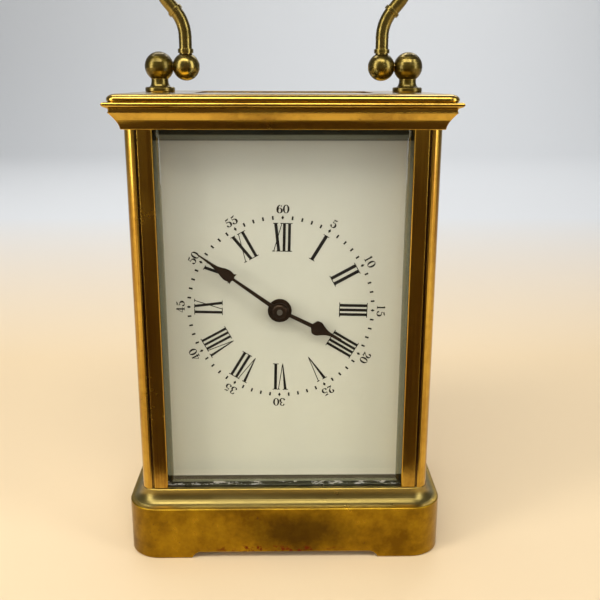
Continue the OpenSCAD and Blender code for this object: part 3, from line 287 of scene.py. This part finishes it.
def fired_enamel():
    """Cream enamel, warmer towards the foot of the dial, with grey specks and a faint cloudiness."""
    enamel = Shader("fired_enamel")
    height = enamel.split(enamel.coords)[2]
    colour = enamel.mix(enamel.spread_mm(height, 100, 30), (0.53, 0.505, 0.432), (0.58, 0.54, 0.415))
    cloud = enamel.spread(enamel.noise(38, 4, 0.55), 0.3, 0.7)
    colour = enamel.mix(enamel.times(cloud, 0.35), colour, (0.51, 0.49, 0.41))
    shaded = enamel.spread_mm(height, DIAL_SHADE, DIAL_SHADE + 0.3, 0.92)
    colour = enamel.mix(shaded, colour, (0.05, 0.052, 0.04))
    specks = enamel.spread(enamel.noise(700, 2, 0.5, offset=4), 0.735, 0.80, 0, 0.5)
    enamel.use(enamel.mix(specks, colour, (0.30, 0.28, 0.24)), "Base Color")
    enamel.set(Roughness=0.22, IOR=1.5, Coat_Weight=0.5, Coat_Roughness=0.08)
    enamel.use(enamel.bump(enamel.noise(240, 2), 0.05, 0.05), "Normal")
    return enamel.material


def dial_ink():
    ink = Shader("dial_ink")
    ink.use(ink.mix(ink.noise(900, 3), (0.004, 0.0035, 0.003), (0.010, 0.009, 0.008)), "Base Color")
    ink.set(Roughness=0.5, Specular_IOR_Level=0.15)
    return ink.material


def ruby():
    stone = Shader("ruby")
    stone.use(stone.mix(stone.noise(500, 2), (0.45, 0.01, 0.04), (0.62, 0.03, 0.10)), "Base Color")
    stone.set(Roughness=0.08, IOR=1.76, Coat_Weight=0.6)
    return stone.material


METALS = {
    # name: light and dark colour, roughness from and to, the grain's scale along x, y and z
    "movement_brass": ((0.82, 0.64, 0.30), (0.66, 0.47, 0.19), (0.22, 0.38), (1, 1, 14)),
    "wheel_brass": ((0.82, 0.62, 0.27), (0.68, 0.48, 0.18), (0.2, 0.34), (1, 8, 1)),
    "dark_steel": ((0.030, 0.019, 0.013), (0.050, 0.030, 0.019), (0.40, 0.58), (6, 1, 1)),
    "polished_steel": ((0.58, 0.59, 0.61), (0.42, 0.42, 0.43), (0.16, 0.3), (1, 10, 1)),
    "screw_steel": ((0.40, 0.42, 0.48), (0.26, 0.26, 0.28), (0.2, 0.36), (8, 8, 1)),
    "spring_steel": ((0.32, 0.34, 0.42), (0.22, 0.23, 0.27), (0.22, 0.36), (1, 12, 1)),
    "worn_arbor": ((0.22, 0.19, 0.15), (0.12, 0.10, 0.08), (0.4, 0.55), (1, 1, 1)),
}
finish = {name: grained_metal(name, *values) for name, values in METALS.items()}
finish["case_brass"] = aged_brass("case_brass", GOLD, BROWN)
finish["polished_brass"] = aged_brass("polished_brass", (0.72, 0.50, 0.16), BROWN,
                                      (0.5, 0.85), (0.12, 0.3), 20)
# The second colour is painted shade through the glass bevels.
finish["case_glass"] = clear_glass("case_glass", (0.955, 0.975, 0.955), (0.10, 0.11, 0.075))
finish["dial_enamel"] = fired_enamel()
finish["ruby"] = ruby()

# Nodes that look different from the rest of their slot
own_finish = {"base_frame": plinth_brass(), "centre_arbor": finish["worn_arbor"]}
streaked = pillar_brass()
for corner in ("front_left", "front_right", "rear_left", "rear_right"):
    own_finish["pillar_" + corner] = streaked
olive = aged_brass("handle_brass", (0.37, 0.27, 0.065), (0.10, 0.07, 0.010), (0.34, 0.58), (0.16, 0.34), 14)
for node in ("handle", "handle_post_left", "handle_post_right"):
    own_finish[node] = olive

for part in record["subparts"]:
    mesh = nodes[part["node"]].data
    mesh.materials.clear()
    mesh.materials.append(own_finish.get(part["node"], finish[part["material_slot"]]))


# ------------------------------------------------------------------ dial printing
# Outlines are in millimetres. On the ring, u runs across and v outwards from the printing's centre.

CENTRE = (-0.85, 64.05)                # of the printing on the dial, x and z
TILT = 1.3                             # degrees that the printing is turned clockwise
PRINT_FRONT, PRINT_BACK = -0.03, 0.02  # from the enamel's face
FOOT, HEAD = 14.6, 21.7                # the hour numerals' inner and outer ends
HAIR = 0.20                            # width of a numeral's thin strokes and serifs
TRACK = 23.03                          # radius of the minute track
FIGURE_FOOT = 24.08                    # inner ends of the minute figures
FIGURE_WIDTH, FIGURE_PITCH = 1.02, 1.58
THIN, BOLD = 0.14, 0.46                # strokes of the minute figures, which stand 0 to 2.1 high
prisms = []


def print_on_ring(angle, outline):
    """Adds an outline to the printing, at a clockwise angle from twelve, its foot towards the centre."""
    a = math.radians(angle + TILT)
    across, out = (math.cos(a), -math.sin(a)), (math.sin(a), math.cos(a))
    prisms.append([(across[0] * u + out[0] * v, across[1] * u + out[1] * v) for u, v in outline])


def slanted(foot_u, head_u, width, low, high):
    half = width / 2
    return [(foot_u - half, low), (foot_u + half, low), (head_u + half, high), (head_u - half, high)]


def serif(u0, u1, at_head):
    v = HEAD - HAIR if at_head else FOOT
    return [(u0, v), (u1, v), (u1, v + HAIR), (u0, v + HAIR)]


def stems(places, width):
    """Upright thick strokes, joined by one serif along their feet and one along their heads."""
    made = [slanted(u, u, width, FOOT, HEAD) for u in places]
    reach = width / 2 + 0.38
    for at_head in (False, True):
        made.append(serif(places[0] - reach, places[-1] + reach, at_head))
    return made


def letter_v(thick_u, thin_u, apex_u, width):
    half = width / 2
    return [
        [(apex_u - 0.10, FOOT), (apex_u + 0.10, FOOT), (thick_u + half, HEAD), (thick_u - half, HEAD)],
        slanted(apex_u + 0.05, thin_u, HAIR, FOOT + 0.3, HEAD),
        serif(thick_u - half - 0.32, thick_u + half + 0.32, True),
        serif(thin_u - 0.35, thin_u + 0.35, True),
    ]


def letter_x(thick_head, thick_foot, thin_head, thin_foot, width):
    thick = slanted(thick_foot, thick_head, width, FOOT, HEAD)
    thin = slanted(thin_foot, thin_head, HAIR, FOOT, HEAD)
    made = [thick, thin]
    for u, reach, at_head in ((thick_head, 0.62, True), (thick_foot, 0.62, False),
                              (thin_head, 0.38, True), (thin_foot, 0.38, False)):
        made.append(serif(u - reach, u + reach, at_head))
    return made


NUMERALS = {
    1: stems([0], 0.86),
    2: stems([-0.78, 0.78], 0.82),
    3: stems([-1.18, 0, 1.18], 0.72),
    4: stems([-1.68, -0.56, 0.56, 1.68], 0.68),
    5: letter_v(-0.85, 0.95, 0.10, 0.74),
    6: letter_v(-1.50, 0.28, -0.70, 0.74) + stems([1.05], 0.72),
    7: letter_v(-2.00, -0.20, -1.20, 0.72) + stems([0.45, 1.82], 0.70),
    8: letter_v(-2.30, -0.70, -1.60, 0.66) + stems([-0.20, 0.98, 2.16], 0.62),
    9: stems([-1.25], 0.68) + letter_x(0.25, 1.22, 1.75, -0.42, 0.66),
    10: letter_x(-0.72, 0.72, 0.86, -0.86, 0.76),
    11: letter_x(-1.52, -0.22, 0.10, -1.82, 0.76) + stems([1.15], 0.72),
    12: letter_x(-1.70, -0.82, -0.15, -2.08, 0.76) + stems([0.46, 1.72], 0.70),
}


def print_numerals():
    for hour, outlines in NUMERALS.items():
        for outline in outlines:
            print_on_ring(30 * hour, outline)


def print_track():
    """A short dash at each minute and a diamond at every fifth."""
    dash = slanted(0, 0, 0.42, TRACK - 0.47, TRACK + 0.47)
    diamond = [(0, TRACK - 0.55), (0.34, TRACK), (0, TRACK + 0.55), (-0.34, TRACK)]
    for minute in range(60):
        print_on_ring(6 * minute, dash if minute % 5 else diamond)


def ribbon(points, widths):
    """A stroke of changing width along a line of points, as quads."""
    left, right = [], []
    for i, (u, v) in enumerate(points):
        before, after = points[max(i - 1, 0)], points[min(i + 1, len(points) - 1)]
        du, dv = after[0] - before[0], after[1] - before[1]
        size = math.hypot(du, dv) or 1
        side_u, side_v = -dv / size * widths[i] / 2, du / size * widths[i] / 2
        left.append((u + side_u, v + side_v))
        right.append((u - side_u, v - side_v))
    return [[right[i], right[i + 1], left[i + 1], left[i]] for i in range(len(points) - 1)]


def bow(middle_u, middle_v, reach_u, reach_v, start, end, thin=THIN, thick=BOLD, steps=14):
    """An arc that is thick at its sides and thin at its head and foot, as in old-style figures."""
    points, widths = [], []
    for i in range(steps + 1):
        a = math.radians(start + (end - start) * i / steps)
        points.append((middle_u + reach_u * math.cos(a), middle_v + reach_v * math.sin(a)))
        widths.append(thin + (thick - thin) * abs(math.cos(a)) ** 1.6)
    return ribbon(points, widths)


def ball(u, v, radius):
    """The round end of a figure's stroke."""
    turns = [math.radians(a) for a in range(0, 360, 36)]
    return [[(u + radius * math.cos(a), v + radius * math.sin(a)) for a in turns]]


def bar(u0, v0, u1, v1, width):
    return ribbon([(u0, v0), (u1, v1)], [width, width])


def nought():
    return bow(0, 1.05, 0.56, 0.98, 0, 360, steps=24)


def one():
    foot = bar(-0.42, 0.06, 0.42, 0.06, 0.12)
    flag = bar(-0.34, 1.76, 0, 2.05, 0.14)
    return bar(0, 0, 0, 2.1, 0.36) + foot + flag


def two():
    neck = ribbon([(0.42, 1.18), (0.05, 0.68), (-0.5, 0.12)], [0.30, 0.14, 0.12])
    foot = ribbon([(-0.5, 0.14), (-0.1, 0.26), (0.52, 0.16), (0.58, 0.5)], [0.16, 0.32, 0.30, 0.1])
    return bow(0, 1.48, 0.46, 0.56, 170, -35) + neck + foot + ball(-0.40, 1.50, 0.19)


def three():
    upper = bow(-0.02, 1.60, 0.44, 0.45, 155, -85, thick=0.34)
    lower = bow(-0.02, 0.62, 0.54, 0.56, 88, -160)
    return upper + lower + ball(-0.40, 1.70, 0.18) + ball(-0.48, 0.42, 0.19)


def four():
    slope = bar(0.22, 2.05, -0.62, 0.62, 0.12)
    cross = bar(-0.66, 0.60, 0.64, 0.60, 0.13)
    foot = bar(-0.16, 0.06, 0.58, 0.06, 0.12)
    return bar(0.22, 0, 0.22, 2.1, 0.36) + slope + cross + foot


def five():
    neck = bar(-0.34, 1.12, -0.30, 2.02, 0.12)
    flag = ribbon([(-0.32, 1.94), (0.05, 1.84), (0.50, 2.06)], [0.14, 0.36, 0.12])
    return bow(0, 0.66, 0.54, 0.60, 120, -160) + neck + flag + ball(-0.46, 0.44, 0.19)


def six():
    back = bow(0.28, 0.95, 0.80, 1.08, 100, 190)
    return bow(0.02, 0.66, 0.52, 0.60, 0, 360, steps=20) + back + ball(0.38, 1.76, 0.18)


FIGURES = {"0": nought(), "1": one(), "2": two(), "3": three(), "4": four(), "5": five(), "6": six()}


def print_minute_figures():
    """5 to 60, each number upright on the ring."""
    for minute in range(5, 65, 5):
        number = str(minute)
        for i, digit in enumerate(number):
            shift = (i - (len(number) - 1) / 2) * FIGURE_PITCH
            for outline in FIGURES[digit]:
                print_on_ring(6 * minute, [(u * FIGURE_WIDTH + shift, v + FIGURE_FOOT) for u, v in outline])


def area_of(outline):
    return sum(a[0] * b[1] - b[0] * a[1] for a, b in zip(outline, outline[1:] + outline[:1])) / 2


def prism_mesh(name, outlines, front, back):
    """Closed prisms about the printing's centre, all facing one way. Outlines without area are left out."""
    verts, faces = [], []
    for outline in outlines:
        area = area_of(outline)
        if abs(area) < 1e-4:
            continue
        if area < 0:
            outline = outline[::-1]
        start, count = len(verts), len(outline)
        for y in (front, back):
            verts += [((CENTRE[0] + x) * MM, y * MM, (CENTRE[1] + z) * MM) for x, z in outline]
        faces.append(tuple(range(start, start + count)))
        faces.append(tuple(range(start + 2 * count - 1, start + count - 1, -1)))
        for i in range(count):
            j = (i + 1) % count
            faces.append((start + j, start + i, start + count + i, start + count + j))
    return add_mesh(name, verts, faces)


def add_mesh(name, verts, faces):
    mesh = bpy.data.meshes.new(name)
    mesh.from_pydata(verts, [], faces)
    mesh.update()
    return add_object(name, mesh)


def add_object(name, data):
    made = bpy.data.objects.new(name, data)
    bpy.context.scene.collection.objects.link(made)
    return made


print_numerals()
print_track()
print_minute_figures()
printing = prism_mesh("dial_printing", prisms, DIAL_FACE + PRINT_FRONT, DIAL_FACE + PRINT_BACK)
printing.data.materials.append(dial_ink())
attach(printing, "case")


# ------------------------------------------------------------------ room, light and camera, in metres

def sweep(name, half_width, front, back, height, radius):
    """Floor that curves up into a backdrop."""
    line = [(front, 0)]
    for degrees in range(0, 95, 5):
        a = math.radians(degrees)
        line.append((back - radius + radius * math.sin(a), radius - radius * math.cos(a)))
    line.append((back, height))
    verts = [(x, y, z) for y, z in line for x in (-half_width, half_width)]
    faces = [(2 * i, 2 * i + 1, 2 * i + 3, 2 * i + 2) for i in range(len(line) - 1)]
    made = add_mesh(name, verts, faces)
    for face in made.data.polygons:
        face.use_smooth = True
    return made


def pale_floor():
    """Warm round the clock, cooler towards the backdrop."""
    pale = Shader("floor")
    depth = pale.split(pale.coords)[1]
    pale.use(pale.mix(pale.spread(depth, 0.12, 0.50), (0.84, 0.655, 0.41), (0.78, 0.80, 0.82)), "Base Color")
    pale.set(Roughness=0.6)
    return pale.material


floor = sweep("floor", 3.0, -2.5, 1.6, 3.0, 0.5)
floor.data.materials.append(pale_floor())


def softbox(name, place, target, size, power, colour):
    light = bpy.data.lights.new(name, "AREA")
    light.shape = "RECTANGLE"
    light.size, light.size_y = size
    light.energy = power
    light.color = colour
    made = add_object(name, light)
    made.location = place
    made.rotation_mode = "QUATERNION"
    made.rotation_quaternion = (Vector(target) - Vector(place)).to_track_quat("-Z", "Y")


MIDDLE = (0, 0, 0.07)
WARM, COOL, WHITE = (1.0, 0.98, 0.95), (0.97, 0.98, 1.0), (1, 1, 1)
softbox("key", (-0.12, -0.42, 0.80), MIDDLE, (0.9, 0.28), 4.9, (1.0, 0.97, 0.92))
softbox("fill", (0.62, -0.36, 0.30), MIDDLE, (0.26, 0.8), 2.6, COOL)
softbox("left", (-0.62, -0.36, 0.30), MIDDLE, (0.26, 0.8), 3.2, WARM)
softbox("front", (0.05, -1.0, 0.42), MIDDLE, (0.7, 0.35), 1.7, WARM)
softbox("back", (0.1, 0.75, 0.9), (0, 0.9, 0.1), (1.4, 0.4), 7, WHITE)


def dark_card(name, corners):
    """A brown card that only reflections and the light through the glasses see, as a photographer hangs one
    to give polished metal some contrast."""
    made = add_mesh(name, corners, [(0, 1, 2, 3)])
    brown = Shader(name)
    brown.set(Base_Color=(0.11, 0.062, 0.028, 1), Roughness=0.9)
    made.data.materials.append(brown.material)
    made.visible_camera = made.visible_diffuse = made.visible_shadow = False


card_foot = [(-0.060, -0.072, 0.0), (0.066, -0.072, 0.0)]
card_head = [(0.12, -0.44, 0.60), (-0.12, -0.44, 0.60)]
dark_card("card_front", card_foot + card_head)

world = bpy.data.worlds.new("room")
world.use_nodes = True
air = world.node_tree.nodes["Background"]
air.inputs["Color"].default_value = (0.80, 0.82, 0.85, 1)
air.inputs["Strength"].default_value = 0.16
bpy.context.scene.world = world


def add_camera(place, pitch, yaw, roll, lens):
    """A camera that looks along +Y, turned right by yaw and down by pitch, then rolled, all in degrees."""
    pitch, yaw, roll = (math.radians(angle) for angle in (pitch, yaw, roll))
    forward = Vector((math.sin(yaw) * math.cos(pitch), math.cos(yaw) * math.cos(pitch), -math.sin(pitch)))
    level = forward.cross(Vector((0, 0, 1))).normalized()
    upright = level.cross(forward)
    right = math.cos(roll) * level + math.sin(roll) * upright
    up = -math.sin(roll) * level + math.cos(roll) * upright
    camera = add_object("camera", bpy.data.cameras.new("camera"))
    camera.data.sensor_width = 36
    camera.data.lens = lens
    camera.data.clip_start = 0.01
    turned = Matrix((right, up, -forward)).transposed().to_4x4()
    camera.matrix_world = Matrix.Translation(place) @ turned
    return camera


scene = bpy.context.scene
scene.camera = add_camera((0.0008, -0.2153, 0.1190), 15.38, 0.93, 0.11, 47.68)
scene.view_settings.view_transform = "Standard"
